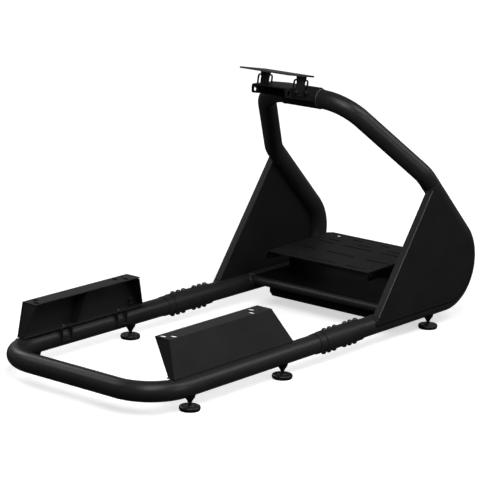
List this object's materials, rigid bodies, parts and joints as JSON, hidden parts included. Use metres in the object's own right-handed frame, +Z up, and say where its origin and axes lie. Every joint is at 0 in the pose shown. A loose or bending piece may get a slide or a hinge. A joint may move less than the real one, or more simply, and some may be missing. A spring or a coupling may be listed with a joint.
{
  "type": "sim racing cockpit frame",
  "caption": "Black bent-tube driving cockpit frame with floor rails, side panels, slotted pedal plate, seat brackets and a tilted wheel plate on a front hoop.",
  "frame": {"origin": "on the floor under the middle of the frame", "axes": "+Y the way the driver faces, towards the pedals; +X the driver's right; +Z up"},
  "size_m": [0.562, 1.3241, 0.7131],
  "materials": {
    "frame_black": "satin black powder coat",
    "panel_black": "satin black powder coat on sheet",
    "bracket_black": "satin black powder coat",
    "pedal_black": "satin black powder coat",
    "deck_black": "satin black powder coat",
    "bolt_black": "black oxide steel",
    "foot_black": "moulded black plastic pad on a black screw"
  },
  "bodies": {
    "frame": {"rear_frame_tube": "frame_black", "left_leg_tube": "frame_black", "right_leg_tube": "frame_black", "hoop_tube": "frame_black", "left_coupling_sleeve": "frame_black", "right_coupling_sleeve": "frame_black", "left_coupling_collar": "frame_black", "right_coupling_collar": "frame_black", "rear_cross_tube": "frame_black", "front_cross_tube": "frame_black", "left_side_panel": "panel_black", "right_side_panel": "panel_black", "left_panel_lining": "panel_black", "right_panel_lining": "panel_black", "pedal_plate": "pedal_black", "left_pedal_upright": "pedal_black", "right_pedal_upright": "pedal_black", "pedal_tray": "pedal_black", "left_seat_bracket": "bracket_black", "right_seat_bracket": "bracket_black", "left_seat_gussets": "bracket_black", "right_seat_gussets": "bracket_black", "left_rear_seat_tab": "bracket_black", "left_front_seat_tab": "bracket_black", "right_rear_seat_tab": "bracket_black", "right_front_seat_tab": "bracket_black", "left_rear_foot": "foot_black", "right_rear_foot": "foot_black", "left_middle_foot": "foot_black", "right_middle_foot": "foot_black", "left_front_foot": "foot_black", "right_front_foot": "foot_black", "hoop_sleeve": "frame_black", "wheel_cradle": "deck_black", "deck_bolts": "bolt_black"},
    "wheel_deck": {"left_deck_ear": "deck_black", "right_deck_ear": "deck_black", "wheel_plate": "deck_black"}
  },
  "joints": [
    {"name": "wheel_deck_height", "type": "slide", "parent": "frame", "child": "wheel_deck", "axis": [0, 0.165, 0.9863], "range_m": [-0.02, 0]}
  ]
}
